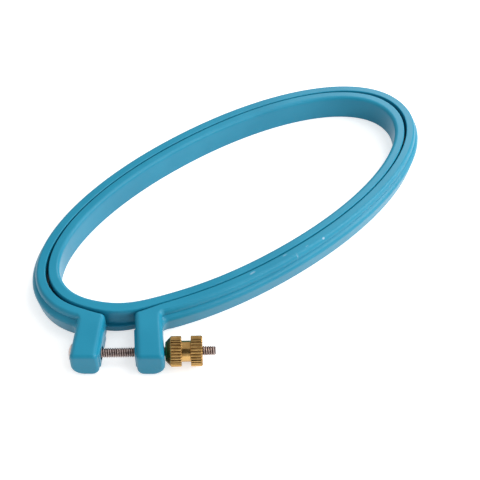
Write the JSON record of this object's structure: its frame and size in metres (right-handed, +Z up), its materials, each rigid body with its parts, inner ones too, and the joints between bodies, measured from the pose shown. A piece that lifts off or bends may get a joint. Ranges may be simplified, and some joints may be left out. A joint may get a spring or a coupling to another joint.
{
  "type": "embroidery hoop",
  "caption": "Oval hand embroidery hoop: a plain inner ring inside a split outer ring that a screw and a knurled thumb nut clamp at two lugs.",
  "frame": {"origin": "middle of the hoop's footprint, lugs and nut counted, at the height of its foot", "axes": "+X along the oval's long way, away from the clamp; +Z up out of the hoop's top face; +Y across the oval, away from the clamp"},
  "size_m": [0.1774, 0.093, 0.011],
  "materials": {
    "inner_plastic": "satin moulded turquoise",
    "outer_plastic": "satin moulded turquoise",
    "screw_steel": "dark plated, machine cut thread",
    "nut_brass": "polished, straight knurl"
  },
  "bodies": {
    "inner": {"inner_ring": "inner_plastic"},
    "outer_left": {"outer_ring_left": "outer_plastic", "clamp_screw": "screw_steel"},
    "outer_right": {"outer_ring_right": "outer_plastic"},
    "nut": {"thumb_nut": "nut_brass"}
  },
  "joints": [
    {"name": "outer_ring_lift", "type": "slide", "parent": "inner", "child": "outer_left", "axis": [0, 0, 1], "range_m": [0, 0.025]},
    {"name": "ring_open", "type": "slide", "parent": "outer_left", "child": "outer_right", "axis": [0.8146, -0.58, 0], "range_m": [0, 0.00437]},
    {"name": "nut_turn", "type": "hinge", "parent": "outer_right", "child": "nut", "pos_m": [-0.05981, -0.03508, 0.0055], "axis": [0.8146, -0.58, 0], "range_deg": [0, 1980]}
  ],
  "couplings": [
    {"joint": "nut_turn", "follows": "ring_open", "rad_per_m": 7913.3}
  ]
}
